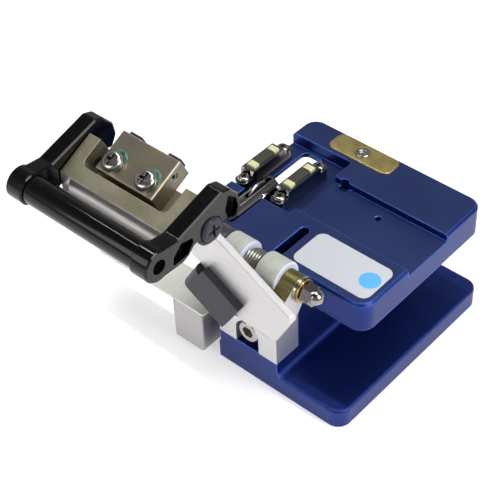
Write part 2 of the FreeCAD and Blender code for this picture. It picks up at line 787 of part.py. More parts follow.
def cheek_pocket(outer, side):
    """Shallow weight-saving pockets in the outer face, one in the leaf and one in the limb."""
    leaf = [(-54.2, 97.3), (-50.6, 94.0), (-49.9, 90.2), (-51.3, 87.2), (-54.8, 88.7), (-55.6, 92.4)]
    limb = [(-74.6, 92.6), (-69.9, 91.4), (-69.6, 89.6), (-72.3, 86.4), (-78.4, 86.2), (-78.2, 89.2)]
    shapes = []
    for points, depth in ((leaf, 2.2), (limb, 3.0)):
        x0 = min(outer + side * 1.0, outer - side * depth)
        shape = outline_yz(points, x0, x0 + depth + 1.0)
        shapes.append(shape.makeFillet(0.7, edges_along(shape, (1, 0, 0), lambda p: True)))
    return shapes[0].fuse(shapes[1])


def handle_tube():
    x0 = lid_left() - cheek_gap
    x1 = lid_right() + cheek_gap
    body = rod_x(x0, x1, tube_y, tube_z, tube_round)
    body = body.makeChamfer(0.5, [e for e in body.Edges if isinstance(e.Curve, Part.Circle)])
    for end in (x0, x1 - 12):
        body = body.cut(rod_x(end, end + 12, tube_y, tube_z, tube_bore + bolt_gap))
    return body


def tube_screws():
    screws = []
    for side in (-1, 1):
        inner = (lid_left() - cheek_gap) if side < 0 else (lid_right() + cheek_gap)
        tip = (inner - side * 10, tube_y, tube_z)
        long = 10 + cheek_thick - tube_sink
        screws.append(socket_screw(tip, (side, 0, 0), long, 2 * tube_bore, tube_head_wide, 2.2))
    return Part.makeCompound(screws)


# ---- blade slider ----
def slider():
    """End block for the finger, bar along the riser, shoe round the rail and a post under the blade."""
    half = slider_wide / 2
    y0 = slider_front
    y1 = slider_front + slider_end_long
    end = box(slider_x - half, slider_x + half, y0, y1, slider_low, slider_top)
    end = round_upright(end, 1.2)
    bar_right = riser_left - rail_wide - 1.6
    bar = box(slider_x - 2, bar_right, y1 - 1, rail_front + 24, 12, slider_top)
    shoe = box(slider_x - 2, riser_left - 0.8, rail_front + 2, rail_front + 24, rail_low - 3.4, rail_high + 3.4)
    post_half = 2.9
    post = box(slider_x - post_half, slider_x + post_half, housing_back + 0.7, housing_front - 0.5,
               rail_high, housing_low)
    body = end.fuse([bar, shoe, post]).removeSplitter()
    rail = box(riser_left - rail_wide - slide_gap, riser_left + 1, rail_front - 1, rail_back + 1,
               rail_low - slide_gap, rail_high + slide_gap)
    body = body.cut(rail)
    slit = box(slider_x - 0.8, slider_x + 0.8, blade_y - 7, blade_y + 8, blade_z - blade_round - 0.8, 60)
    body = body.cut(slit)
    return body


def blade_housing():
    """Half-round bright cover over the post, with a slit for the blade at its front end."""
    y0 = housing_back
    y1 = housing_front
    radius = housing_round
    bar = rod_y(y0, y1, cut_x, housing_z, radius)
    body = bar.fuse(box(cut_x - radius, cut_x + radius, y0, y1, housing_low, housing_z)).removeSplitter()
    body = body.cut(box(cut_x - 0.9, cut_x + 0.9, blade_y - 6.6, blade_y + 6.6, housing_low - 1, 60))
    axle = rod_x(cut_x - 5, cut_x + 5, blade_y, blade_z, blade_axle + bolt_gap)
    head = rod_x(cut_x + 2.6, cut_x + 5, blade_y, blade_z, 3.1)
    return body.cut([axle, head])


def blade():
    body = rod_x(cut_x - blade_thick / 2, cut_x + blade_thick / 2, blade_y, blade_z, blade_round)
    rims = [e for e in body.Edges if isinstance(e.Curve, Part.Circle)]
    body = body.makeChamfer(0.42, rims)
    return body.cut(rod_x(cut_x - 2, cut_x + 2, blade_y, blade_z, blade_axle + turn_gap))


def blade_screw():
    tip = (cut_x - 3.7, blade_y, blade_z)
    return socket_screw(tip, (1, 0, 0), 3.7 + 2.6, 2 * blade_axle, 5.8, 1.2)


def slide_rail():
    body = box(riser_left - rail_wide, riser_left, rail_front, rail_back, rail_low, rail_high)
    middle = (rail_low + rail_high) / 2
    for y in rail_screw_places():
        body = body.cut(rod_x(riser_left - rail_wide - 1, riser_left + 1, y, middle, 1.25 + pilot_gap))
        body = body.cut(rod_x(riser_left - rail_wide - 1, riser_left - rail_wide + 2.2, y, middle, 2.4))
    return body


def rail_screw_places():
    return [rail_front + 5, (rail_front + rail_back) / 2, rail_back - 5]


def rail_screws():
    middle = (rail_low + rail_high) / 2
    return Part.makeCompound([
        socket_screw((riser_left + 6, y, middle), (-1, 0, 0), 6 + rail_wide - 2.2, 2.5, 4.5, 2.0)
        for y in rail_screw_places()])


def slider_shield():
    """Thin bright plate on top of the end block that reaches out to the left."""
    y0 = slider_front - 1.5
    y1 = slider_front + slider_end_long + 3
    body = box(shield_left, shield_right, y0, y1, slider_top, slider_top + shield_thick)
    return round_upright(body, 1.0)


def build():
    parts["base_plate"] = base_plate()
    parts["deck_plate"] = deck_plate()
    parts["deck_screws"] = deck_screws()
    parts["keeper_plate"] = keeper_plate()
    parts["keeper_screw"] = keeper_screw()
    for side, word in ((-1, "left"), (1, "right")):
        parts["anvil_" + word] = anvil(side)
        parts["anvil_rubber_" + word] = anvil_rubber(side)
        parts["clamp_pad_" + word] = clamp_pad(side)
        parts["cheek_" + word] = cheek(side)
        parts["pivot_screw_" + word] = pivot_screw(side)
    parts["anvil_screws"] = anvil_screws()
    parts["hinge_bracket"] = hinge_bracket()
    parts["stop_plate"] = stop_plate()
    parts["bracket_screw"] = bracket_screw()
    parts["hinge_shaft"] = hinge_shaft()
    parts["sleeve_left"] = sleeve_left()
    parts["sleeve_right"] = sleeve_right()
    parts["hinge_spring"] = hinge_spring()
    parts["steel_washer"] = hinge_washer(0)
    parts["brass_washer"] = hinge_washer(1)
    parts["cap_nut"] = cap_nut()
    parts["lid_arm"] = lid_arm()
    parts["lid_body"] = lid_body()
    parts["clamp_block"] = clamp_block()
    parts["clamp_screws"] = clamp_screws()
    parts["clamp_set_screw"] = clamp_set_screw()
    parts["handle_tube"] = handle_tube()
    parts["tube_screws"] = tube_screws()
    parts["slider"] = slider()
    parts["slider_shield"] = slider_shield()
    parts["blade_housing"] = blade_housing()
    parts["blade"] = blade()
    parts["blade_screw"] = blade_screw()
    parts["slide_rail"] = slide_rail()
    parts["rail_screws"] = rail_screws()


build()
os.makedirs("parts", exist_ok=True)
for name, shape in parts.items():
    shape.exportStep("parts/" + name + ".step")
    print(name, shape.ShapeType, len(shape.Solids), shape.isValid(), round(shape.Volume, 1))
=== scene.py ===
# %% [markdown]
# # A fibre cleaver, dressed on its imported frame
#
# The cleaver is a bench tool for glass fibre.  A blue base carries a raised deck with two
# rubber anvils, a hinged lid with a black handle frame swings over them, and a slider runs a
# round blade under the fibre.  Nearly every part is hard metal, and its solid is already the
# right shape, so this lesson is mostly about finishes: anodised, blasted, brushed and painted
# metal.  A few nodes are shaped again, because the real pieces differ a little from them: the
# deck and its keeper, and the sleeves, spring, bracket and nut of the hinge.  The label, the
# thread lock and the collar on the lid's hub have no node, so they are made here from nothing.
#
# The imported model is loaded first.  Its nodes stand where the real parts are, in metres.

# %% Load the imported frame
import json
import math
import bpy
from mathutils import Matrix, Vector

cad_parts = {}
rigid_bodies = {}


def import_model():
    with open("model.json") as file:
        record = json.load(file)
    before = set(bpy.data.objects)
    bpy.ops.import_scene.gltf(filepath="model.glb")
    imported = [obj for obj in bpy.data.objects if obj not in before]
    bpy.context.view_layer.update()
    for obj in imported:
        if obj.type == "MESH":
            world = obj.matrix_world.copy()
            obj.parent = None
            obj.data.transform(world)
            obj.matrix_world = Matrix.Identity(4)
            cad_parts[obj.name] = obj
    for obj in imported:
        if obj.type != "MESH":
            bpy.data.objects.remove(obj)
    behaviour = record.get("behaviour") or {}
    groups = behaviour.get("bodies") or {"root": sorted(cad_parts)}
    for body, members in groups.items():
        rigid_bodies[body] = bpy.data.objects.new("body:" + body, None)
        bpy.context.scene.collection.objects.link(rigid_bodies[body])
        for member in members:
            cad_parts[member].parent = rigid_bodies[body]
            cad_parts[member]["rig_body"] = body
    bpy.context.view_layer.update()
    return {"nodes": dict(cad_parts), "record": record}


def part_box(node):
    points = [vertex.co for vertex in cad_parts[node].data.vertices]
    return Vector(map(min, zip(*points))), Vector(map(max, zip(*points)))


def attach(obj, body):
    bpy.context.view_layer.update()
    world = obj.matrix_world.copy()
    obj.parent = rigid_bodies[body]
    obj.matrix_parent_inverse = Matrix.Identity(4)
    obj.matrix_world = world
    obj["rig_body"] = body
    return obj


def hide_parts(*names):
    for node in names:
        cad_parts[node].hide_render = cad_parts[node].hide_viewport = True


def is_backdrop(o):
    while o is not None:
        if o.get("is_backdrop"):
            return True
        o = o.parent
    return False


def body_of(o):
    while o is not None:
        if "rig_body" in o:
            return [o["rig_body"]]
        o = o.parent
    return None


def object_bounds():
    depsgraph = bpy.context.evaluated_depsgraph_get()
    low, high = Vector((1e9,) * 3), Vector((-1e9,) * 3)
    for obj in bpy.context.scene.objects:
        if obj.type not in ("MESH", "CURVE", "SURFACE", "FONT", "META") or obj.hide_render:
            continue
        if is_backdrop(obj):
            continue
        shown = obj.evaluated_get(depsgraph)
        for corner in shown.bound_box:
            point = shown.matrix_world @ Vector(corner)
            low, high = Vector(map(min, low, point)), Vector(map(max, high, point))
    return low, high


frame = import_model()
nodes = frame["nodes"]
scene = bpy.context.scene
scene.view_settings.view_transform = "Standard"

MM = 0.001

# %% [markdown]
# ## The camera
#
# A camera is placed by where it stands, which way it looks and how long its lens is.  Here the
# lens is long, about 98 mm on a 36 mm sensor, as for a product picture taken from half a metre
# away.  Its turn is written as three axes: one to the right, one up and one back.

# %% Camera
def camera_axes(azimuth, elevation, roll):
    a, e, r = (math.radians(v) for v in (azimuth, elevation, roll))
    back = Vector((math.sin(a) * math.cos(e), -math.cos(a) * math.cos(e), math.sin(e)))
    level = Vector((math.cos(a), math.sin(a), 0))
    upright = back.cross(level)
    right = level * math.cos(r) + upright * math.sin(r)
    return right, back.cross(right), back


right, up, back = camera_axes(azimuth=43.2246, elevation=43.6645, roll=-2.643)
lens = bpy.data.cameras.new("camera")
lens.sensor_width = 36
lens.lens = 98.3
lens.clip_start = 0.01
lens.clip_end = 20
camera = bpy.data.objects.new("camera", lens)
scene.collection.objects.link(camera)
turn = Matrix((right, up, back)).transposed().to_4x4()
camera.matrix_world = Matrix.Translation(Vector((217.0, -270.8, 363.5)) * MM) @ turn
scene.camera = camera
print("camera", [round(v, 3) for v in camera.location])

# %% [markdown]
# ## Node trees written as sums
#
# A material is a tree of nodes, and most of them only add, multiply or compare.  One small class
# wraps an output, so that a mask can be written as a Python expression, and each sign adds the
# Math node that it stands for.  A second class holds the tree, and its one method makes every
# other node.

# %% A small language for shaders
class Wire:
    """An output of a node, which can be added, subtracted and multiplied."""

    def __init__(self, paint, socket):
        self.paint = paint
        self.socket = socket

    def _sum(self, operation, *values):
        return self.paint.node("ShaderNodeMath", {"operation": operation}, dict(enumerate(values)))

    def __add__(self, other):
        return self._sum("ADD", self, other)

    def __radd__(self, other):
        return self._sum("ADD", other, self)

    def __sub__(self, other):
        return self._sum("SUBTRACT", self, other)

    def __rsub__(self, other):
        return self._sum("SUBTRACT", other, self)

    def __mul__(self, other):
        return self._sum("MULTIPLY", self, other)

    def __rmul__(self, other):
        return self._sum("MULTIPLY", other, self)

    def __abs__(self):
        return self._sum("ABSOLUTE", self)

    def power(self, other):
        return self._sum("POWER", self, other)

    def limit(self):
        return self._sum("MINIMUM", self._sum("MAXIMUM", self, 0.0), 1.0)

    def ramp(self, low, high):
        """0 below low, 1 above high, and an even rise between them."""
        return self.paint.node("ShaderNodeMapRange", {"interpolation_type": "SMOOTHSTEP"},
                               {"Value": self, "From Min": low, "From Max": high})


class Paint:
    """A material's node tree round one Principled shader."""

    def __init__(self, name):
        self.material = bpy.data.materials.new(name)
        self.material.use_nodes = True
        self.tree = self.material.node_tree
        self.shader = self.tree.nodes["Principled BSDF"]
        coordinates = self.tree.nodes.new("ShaderNodeTexCoord")
        self.place = Wire(self, coordinates.outputs["Object"])

    def feed(self, socket, value):
        if isinstance(value, Wire):
            self.tree.links.new(value.socket, socket)
        else:
            socket.default_value = value

    def node(self, kind, settings=None, inputs=None, output=0):
        node = self.tree.nodes.new(kind)
        for key, value in (settings or {}).items():
            setattr(node, key, value)
        for key, value in (inputs or {}).items():
            self.feed(node.inputs[key], value)
        return Wire(self, node.outputs[output])

    def set(self, **values):
        for key, value in values.items():
            self.feed(self.shader.inputs[key.replace("_", " ")], value)
        print("finish", self.material.name, len(self.tree.nodes), "nodes")
        return self.material

    def noise(self, scale, detail=2.0, stretch=(1, 1, 1), rough=0.5):
        place = self.node("ShaderNodeMapping", None, {"Vector": self.place, "Scale": stretch})
        return self.node("ShaderNodeTexNoise", None,
                         {"Vector": place, "Scale": scale, "Detail": detail, "Roughness": rough})

    def blend(self, factor, first, second):
        node = self.tree.nodes.new("ShaderNodeMix")
        node.data_type = "RGBA"
        self.feed(node.inputs[0], factor)
        self.feed(node.inputs[6], first)
        self.feed(node.inputs[7], second)
        return Wire(self, node.outputs[2])

    def bump(self, height, depth, strength=1.0, normal=None):
        inputs = {"Height": height, "Distance": depth, "Strength": strength}
        if normal:
            inputs["Normal"] = normal
        return self.node("ShaderNodeBump", None, inputs)

    def facing(self):
        """The way that the surface faces."""
        return self.node("ShaderNodeNewGeometry", None, None, "Normal")

    def soft(self, radius):
        """The same, but rolling over each sharp edge."""
        return self.node("ShaderNodeBevel", {"samples": 4}, {"Radius": radius})

    def edge(self, soft):
        """1 at an edge, where the soft normal leaves the plain one, and 0 on a flat face."""
        along = self.node("ShaderNodeVectorMath", {"operation": "DOT_PRODUCT"},
                          {0: soft, 1: self.facing()}, "Value")
        return (1.0 - along).ramp(0.01, 0.2)

    def hollow(self, reach):
        """1 in a narrow recess or corner, 0 on an open face."""
        open_sky = self.node("ShaderNodeAmbientOcclusion", {"samples": 8},
                             {"Distance": reach}, "AO")
        return 1.0 - open_sky.ramp(0.25, 0.85)

    def axis(self, letter):
        split = self.tree.nodes.new("ShaderNodeSeparateXYZ")
        self.tree.links.new(self.place.socket, split.inputs[0])
        return Wire(self, split.outputs[letter])


def colour(red, green, blue):
    """A colour as a screen shows it, from 0 to 255, made linear for the shader."""
    screen = (red / 255, green / 255, blue / 255)
    linear = [c / 12.92 if c <= 0.04045 else ((c + 0.055) / 1.055) ** 2.4 for c in screen]
    return (*linear, 1.0)


print("colour of mid grey", colour(128, 128, 128)[0])

# %% [markdown]
# ## Blue anodised aluminium
#
# The plates are blasted with fine glass beads and then dyed, so they have a deep colour, a soft
# sheen and a very fine even grain.  Their edges are painted a brighter blue, a painted highlight
# where they catch the light.  The grain is a small bump, and a slow noise shifts the dye and the
# sheen a little, as handling does.  The deck's upper face is painted greyer and duller, partly dust
# and partly a painted reflection of the pale room.  A picture of a real plate could be wrapped
# on, but noise in space needs no unwrapping and shows no seam.

# %% Anodised blue
dust_and_sheen_height = 0.038, 0.04           # dust and a painted sheen start between these heights, in metres


def anodised_blue():
    paint = Paint("anodised_blue")
    soft = paint.soft(0.0008)
    edge = paint.edge(soft)
    grain = paint.noise(5200, 2.0)
    cloud = paint.noise(60, 3.0)
    dye = paint.blend(cloud.ramp(0.3, 0.7), colour(21, 40, 108), colour(26, 47, 118))
    dye = paint.blend(grain.ramp(0.45, 0.75) * 0.25, dye, colour(48, 72, 142))
    upward = paint.node("ShaderNodeSeparateXYZ", None, {"Vector": paint.facing()}, "Z")
    # dust and painted sheen: the deck's upper face is painted greyer, partly a painted reflection
    dust_and_sheen = upward.ramp(0.9, 0.98) * paint.axis("Z").ramp(*dust_and_sheen_height)
    dye = paint.blend(dust_and_sheen * (0.22 + 0.16 * cloud), dye, colour(72, 84, 98))
    # painted highlight: the edges are painted a brighter blue, where they catch the light
    dye = paint.blend(edge * 0.85, dye, colour(84, 134, 240))
    sheen = 0.34 + 0.06 * cloud + 0.06 * grain
    return paint.set(Base_Color=dye, Metallic=0.84, Roughness=sheen,
                     Coat_Weight=0.12, Coat_Roughness=0.3,
                     Normal=paint.bump(grain, 0.00004, 0.3, soft))


# %% [markdown]
# ## Bare metals
#
# Milled, ground and drawn metal carry the marks of their tool: fine parallel lines.  Noise that
# is stretched hard along one axis gives such lines.  Blasted steel has pits in place of lines.
# Plated screws are smooth, with only a faint waviness, and their driver recess is painted dark, a
# painted shade.
#
# The lid's face slopes, and its rounded nose is ground.  Two directions, back along the face and
# out of it, tell the finish how far a point lies from the face's front edge.  The nose is painted
# darker the further it lies below that edge, a painted reflection of the dark tube before it.

# %% Bare metals
def lined_metal(name, tint, shade, rough, stretch, depth, metallic):
    """Metal with fine lines: the smaller a number in stretch, the longer the lines that way.

    Hollows are painted dark, a painted shade, and the edges are painted bright, partly rubbed and
    partly a painted highlight."""
    paint = Paint(name)
    soft = paint.soft(0.00025)
    edge = paint.edge(soft)
    line = paint.noise(900, 3.0, stretch, 0.7)
    cloud = paint.noise(45, 3.0)
    mix = paint.blend((line * 0.6 + cloud * 0.4).ramp(0.25, 0.75), colour(*tint), colour(*shade))
    # painted highlight and wear: the edges are painted near white, partly rubbed and partly a
    # painted highlight
    mix = paint.blend(edge * 0.5, mix, colour(245, 245, 245))
    # painted shade: recesses and corners are painted dark
    mix = paint.blend(paint.hollow(0.0006) * 0.6, mix, colour(30, 28, 26))
    return paint.set(Base_Color=mix, Metallic=metallic,
                     Roughness=rough + 0.12 * line + 0.05 * cloud,
                     Normal=paint.bump(line, depth, 0.5, soft))


lid_slope = math.radians(25.5)      # slope of the lid's face as the tool stands
lid_back = Vector((0, math.cos(lid_slope), math.sin(lid_slope)))
lid_normal = Vector((0, -math.sin(lid_slope), math.cos(lid_slope)))
lid_edge = Vector((0, -0.0732, 0.0908))     # on the front edge of the face, in metres


def from_lid_edge(paint, way):
    """How far a point lies from the front edge of the lid's face in one direction, in metres."""
    return (paint.axis("Y") - lid_edge.y) * way.y + (paint.axis("Z") - lid_edge.z) * way.z


def blasted_steel():
    """Grey-olive blasted faces, with the rounded nose at the front ground smooth."""
    paint = Paint("blasted_steel")
    soft = paint.soft(0.0003)
    edge = paint.edge(soft)
    pits = paint.noise(2600, 4.0, (1, 1, 1), 0.7)
    cloud = paint.noise(120, 4.0)
    strokes = paint.noise(1500, 3.0, (0.03, 1, 1), 0.7)
    nose = 1.0 - from_lid_edge(paint, lid_back).ramp(-0.0004, -0.0001)
    under = from_lid_edge(paint, -lid_normal).ramp(0.0004, 0.0046)
    tint = paint.blend(cloud.ramp(0.3, 0.7), colour(154, 150, 128), colour(126, 122, 98))
    tint = paint.blend(pits.ramp(0.35, 0.75) * 0.5, tint, colour(184, 180, 158))
    ground = paint.blend(strokes.ramp(0.3, 0.7), colour(226, 222, 218), colour(186, 182, 178))
    # painted reflection: the ground nose is painted darker below the face, for the dark tube it
    # mirrors
    ground = paint.blend(under, ground, colour(52, 50, 50))
    tint = paint.blend(nose, tint, ground)
    # painted highlight: the edges are painted pale
    tint = paint.blend(edge * 0.7, tint, colour(232, 229, 214))
    # painted shade: recesses and corners are painted dark
    tint = paint.blend(paint.hollow(0.0008) * 0.55, tint, colour(26, 24, 20))
    rough = 0.42 + 0.2 * pits - 0.26 * nose + 0.1 * nose * strokes
    return paint.set(Base_Color=tint, Metallic=0.92, Roughness=rough,
                     Normal=paint.bump(pits, 0.00006, 0.5, soft))


def clamp_steel():
    """The block that holds the pads: the same steel, blasted finer and a little browner."""
    paint = Paint("clamp_steel")
    soft = paint.soft(0.00035)
    edge = paint.edge(soft)
    pits = paint.noise(3800, 3.0, (1, 1, 1), 0.7)
    cloud = paint.noise(90, 4.0)
    tint = paint.blend(cloud.ramp(0.3, 0.7), colour(158, 148, 122), colour(140, 134, 124))
    tint = paint.blend(pits.ramp(0.4, 0.8) * 0.35, tint, colour(184, 174, 150))
    # painted highlight: the edges are painted near white
    tint = paint.blend(edge * 0.85, tint, colour(240, 236, 224))
    # painted shade: recesses and corners are painted dark
    tint = paint.blend(paint.hollow(0.0008) * 0.5, tint, colour(26, 24, 20))
    return paint.set(Base_Color=tint, Metallic=0.95, Roughness=0.3 + 0.14 * pits,
                     Normal=paint.bump(pits, 0.00003, 0.5, soft))


def bright_steel():
    """Plated screws and washers, with the recess for the driver painted dark, a painted shade."""
    paint = Paint("bright_steel")
    wave = paint.noise(500, 3.0)
    scuff = paint.noise(900, 5.0, (1, 1, 1), 0.8)
    tint = paint.blend(scuff.ramp(0.55, 0.75), colour(180, 177, 172), colour(146, 143, 138))
    # painted shade: the driver recess and other hollows are painted near black
    tint = paint.blend(paint.hollow(0.0009) * 0.85, tint, colour(14, 13, 12))
    return paint.set(Base_Color=tint, Metallic=1.0, Roughness=0.14 + 0.14 * scuff,
                     Normal=paint.bump(wave, 0.000004, 0.4, paint.soft(0.00015)))


def polished_steel():
    """Polished pieces, which mirror what stands round them."""
    paint = Paint("polished_steel")
    wave = paint.noise(500, 3.0)
    scuff = paint.noise(900, 5.0, (1, 1, 1), 0.8)
    tint = paint.blend(scuff.ramp(0.35, 0.75), colour(156, 152, 150), colour(144, 140, 137))
    return paint.set(Base_Color=tint, Metallic=1.0, Roughness=0.1 + 0.05 * scuff,
                     Normal=paint.bump(wave, 0.000004, 0.4))


def gold_plate():
    paint = Paint("gold_plate")
    soft = paint.soft(0.0003)
    edge = paint.edge(soft)
    line = paint.noise(1100, 3.0, (0.06, 1, 1), 0.7)
    cloud = paint.noise(160, 4.0)
    tint = paint.blend(cloud.ramp(0.35, 0.7), colour(186, 170, 112), colour(160, 143, 90))
    # painted highlight: the edges are painted paler gold
    tint = paint.blend(edge * 0.6, tint, colour(232, 222, 176))
    return paint.set(Base_Color=tint, Metallic=1.0, Roughness=0.3 + 0.15 * line + 0.08 * cloud,
                     Normal=paint.bump(line, 0.00003, 0.4, soft))


# %% [markdown]
# ## Black enamel, rubber and plastic
#
# The handle frame is a casting under thick gloss paint: the coat flows, so its surface has a
# slow orange-peel wave, and it is worn to a paler satin on the corners.  Rubber is dark, rough
# and finely pitted.  The white sleeves are turned plastic with faint rings round their axis.

# %% Black enamel, rubber and plastic
def painted(name, tint, worn, rough, coat, wave_depth):
    paint = Paint(name)
    soft = paint.soft(0.0006)
    edge = paint.edge(soft)
    peel = paint.noise(420, 2.0)
    fine = paint.noise(2400, 3.0)
    scuff = paint.noise(240, 6.0, (1, 1, 1), 0.75)
    mix = paint.blend(scuff.ramp(0.5, 0.8) * 0.35, tint, worn)
    mix = paint.blend(edge * 0.3, mix, worn)
    height = peel * 0.8 + fine * 0.2
    return paint.set(Base_Color=mix, Metallic=0.0, Roughness=rough + 0.07 * scuff, Coat_Weight=coat,
                     Coat_Roughness=0.05, Specular_IOR_Level=0.16,
                     Normal=paint.bump(height, wave_depth, 0.5, soft))


def black_rubber():
    paint = Paint("black_rubber")
    grain = paint.noise(3200, 4.0)
    dust = paint.noise(500, 5.0)
    tint = paint.blend(dust.ramp(0.45, 0.75), colour(38, 37, 33), colour(62, 61, 54))
    return paint.set(Base_Color=tint, Roughness=0.62 + 0.2 * grain,
                     Normal=paint.bump(grain, 0.00005, 0.6, paint.soft(0.0003)))


cap_start = 0.305, 0.315            # from the strip's middle, as shares of its length


def capped_rubber(name):
    """The anvil's strip: dark rubber with a pale hard cap at each end."""
    low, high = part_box(name)
    paint = Paint(name + "_strip")
    soft = paint.soft(0.0002)
    edge = paint.edge(soft)
    grain = paint.noise(3200, 4.0)
    from_middle = abs(paint.axis("Y") - (low.y + high.y) / 2)
    cap = from_middle.ramp(*((high.y - low.y) * share for share in cap_start))
    tint = paint.blend(grain.ramp(0.4, 0.75), colour(48, 47, 38), colour(62, 60, 50))
    tint = paint.blend(cap, tint, colour(208, 206, 158))
    # painted highlight: the strip's edges are painted pale
    tint = paint.blend(edge * 0.4, tint, colour(226, 224, 190))
    return paint.set(Base_Color=tint, Roughness=0.55 + 0.2 * grain - 0.2 * cap,
                     Normal=paint.bump(grain, 0.00004, 0.5, soft))


def sleeve_plastic(name, pale_end=None):
    """Turned plastic.  The end face at pale_end along X, in metres, is painted paler, as painted
    light.
    """
    paint = Paint(name)
    rings = paint.noise(2600, 2.0, (1, 0.02, 0.02))
    grime = paint.noise(260, 5.0)
    tint = paint.blend(grime.ramp(0.45, 0.8), colour(180, 182, 173), colour(162, 163, 150))
    if pale_end is not None:
        # painted light: the end face toward the key lamp at the right is painted pale lavender
        face = paint.axis("X").ramp(pale_end - 0.0005, pale_end - 0.0003)
        tint = paint.blend(face, tint, colour(214, 217, 236))
    return paint.set(Base_Color=tint, Roughness=0.4 + 0.2 * rings,
                     Normal=paint.bump(rings, 0.00002, 0.5, paint.soft(0.0003)))


def bracket_alloy():
    """Satin alloy, with the ear's milled slope painted a darker olive."""
    paint = Paint("bracket_alloy")
    soft = paint.soft(0.0003)
    edge = paint.edge(soft)
    line = paint.noise(900, 3.0, (0.1, 1, 1), 0.7)
    cloud = paint.noise(45, 3.0)
    x = paint.axis("X")
    above_web = paint.axis("Z").ramp(0.0428, 0.0432)
    past_left = x.ramp(0.0124, 0.0126)
    past_right = x.ramp(0.01845, 0.01855)
    behind_front = paint.axis("Y").ramp(-0.0447, -0.0445)
    ear = above_web * past_left * (1.0 - past_right) * behind_front
    streak = (line * 0.6 + cloud * 0.4).ramp(0.25, 0.75)
    tint = paint.blend(streak, colour(216, 213, 213), colour(208, 205, 205))
    olive = paint.blend(line.ramp(0.3, 0.7), colour(128, 122, 74), colour(98, 92, 54))
    tint = paint.blend(ear, tint, olive)
    # painted highlight: the edges are painted near white
    tint = paint.blend(edge * 0.6, tint, colour(244, 244, 250))
    return paint.set(Base_Color=tint, Metallic=0.85, Roughness=0.36 + 0.1 * line,
                     Normal=paint.bump(line, 0.000008, 0.5, soft))


# %% [markdown]
# ## One finish for each slot
#
# The record names a material slot for each node.  The finishes go on by that slot, and a few
# nodes then get a finish of their own, because the same steel is blasted on one part and
# brushed on another.  What differs between the lined metals stands in one table.

# %% Give each node its finish
# tint, darker tint, roughness, stretch of the lines, depth of the lines in metres, metallic
lined_metals = {
    "bare_steel": ((196, 194, 184), (160, 158, 148), 0.26, (0.05, 1, 1), 0.00003, 1.0),
    "light_alloy": ((214, 211, 211), (206, 203, 203), 0.36, (0.1, 1, 1), 0.000008, 1.0),
    "brass": ((200, 164, 84), (168, 132, 60), 0.24, (1, 0.1, 0.1), 0.00002, 1.0),
    "spring_steel": ((170, 168, 158), (120, 118, 108), 0.25, (1, 0.2, 0.2), 0.00002, 1.0),
    "blade_carbide": ((150, 152, 156), (120, 122, 128), 0.18, (1, 0.1, 0.1), 0.00001, 1.0),
    "shield_steel": ((232, 232, 222), (214, 214, 202), 0.42, (1, 0.08, 1), 0.00001, 0.6),
    "slider_alloy": ((188, 184, 185), (180, 176, 177), 0.38, (1, 1, 0.1), 0.000008, 1.0),
}
finishes = {name: lined_metal(name, *values) for name, values in lined_metals.items()}
finishes.update({
    "anodised_blue": anodised_blue(),
    "blasted_steel": blasted_steel(),
    "clamp_steel": clamp_steel(),
    "bright_steel": bright_steel(),
    "polished_steel": polished_steel(),
    "gold_plate": gold_plate(),
    "black_metal": painted("black_metal", colour(6, 6, 7), colour(26, 25, 27), 0.08, 0.3, 0.00001),
    "dark_metal": painted("dark_metal", colour(58, 57, 66), colour(84, 82, 92), 0.3, 0.08, 0.00003),
    "black_rubber": black_rubber(),
    "white_plastic": sleeve_plastic("white_plastic"),
})
own_finish = {
    "blade_housing": finishes["polished_steel"],
    "anvil_left": finishes["polished_steel"],
    "anvil_right": finishes["polished_steel"],
    "anvil_rubber_left": capped_rubber("anvil_rubber_left"),
    "anvil_rubber_right": capped_rubber("anvil_rubber_right"),
    "slider_shield": finishes["shield_steel"],
    "slider": finishes["slider_alloy"],
    "clamp_block": finishes["clamp_steel"],
    "pivot_screw_left": finishes["dark_metal"],
    "pivot_screw_right": finishes["dark_metal"],
}
slot_of = {part["node"]: part["material_slot"] for part in frame["record"]["subparts"]}
for name, node in nodes.items():
    node.data.materials.clear()
    node.data.materials.append(own_finish.get(name) or finishes[slot_of[name]])
print("finishes", len(finishes), "nodes with one of their own", len(own_finish))

# %% [markdown]
# ## Tools for modelling by hand
#
# The pieces below are made the way a modeller works: a primitive or a copy of a node is
# selected, and operators move, bevel or cut it.  These helpers do what each piece needs:
# selecting, closing a piece with its finish and body, merging doubled points, moving the points
# that pass a test, and cutting with rounded blocks.

# %% Tools for modelling by hand
weld = 0.000001                     # points closer than this are merged, in metres


def begin():
    """Nothing is selected, so that an operator acts only on the new piece."""
    if bpy.context.object and bpy.context.object.mode != "OBJECT":
        bpy.ops.object.mode_set(mode="OBJECT")
    bpy.ops.object.select_all(action="DESELECT")


def finish_piece(name, finish, body, slot):
    """Names the piece, puts its place in its mesh and hangs it on its body."""
    piece = bpy.context.object
    if piece.mode != "OBJECT":
        bpy.ops.object.mode_set(mode="OBJECT")
    bpy.ops.object.transform_apply(location=True, rotation=True, scale=True)
    piece.name = name
    piece.data.materials.clear()
    piece.data.materials.append(finish)
    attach(piece, body)
    print(name, len(piece.data.polygons), "faces")
    return piece


def mend_normals():
    """Merges doubled points of the current piece and turns its faces outward."""
    bpy.ops.object.mode_set(mode="EDIT")
    bpy.ops.mesh.select_all(action="SELECT")
    bpy.ops.mesh.remove_doubles(threshold=weld)
    bpy.ops.mesh.normals_make_consistent(inside=False)
    bpy.ops.object.mode_set(mode="OBJECT")


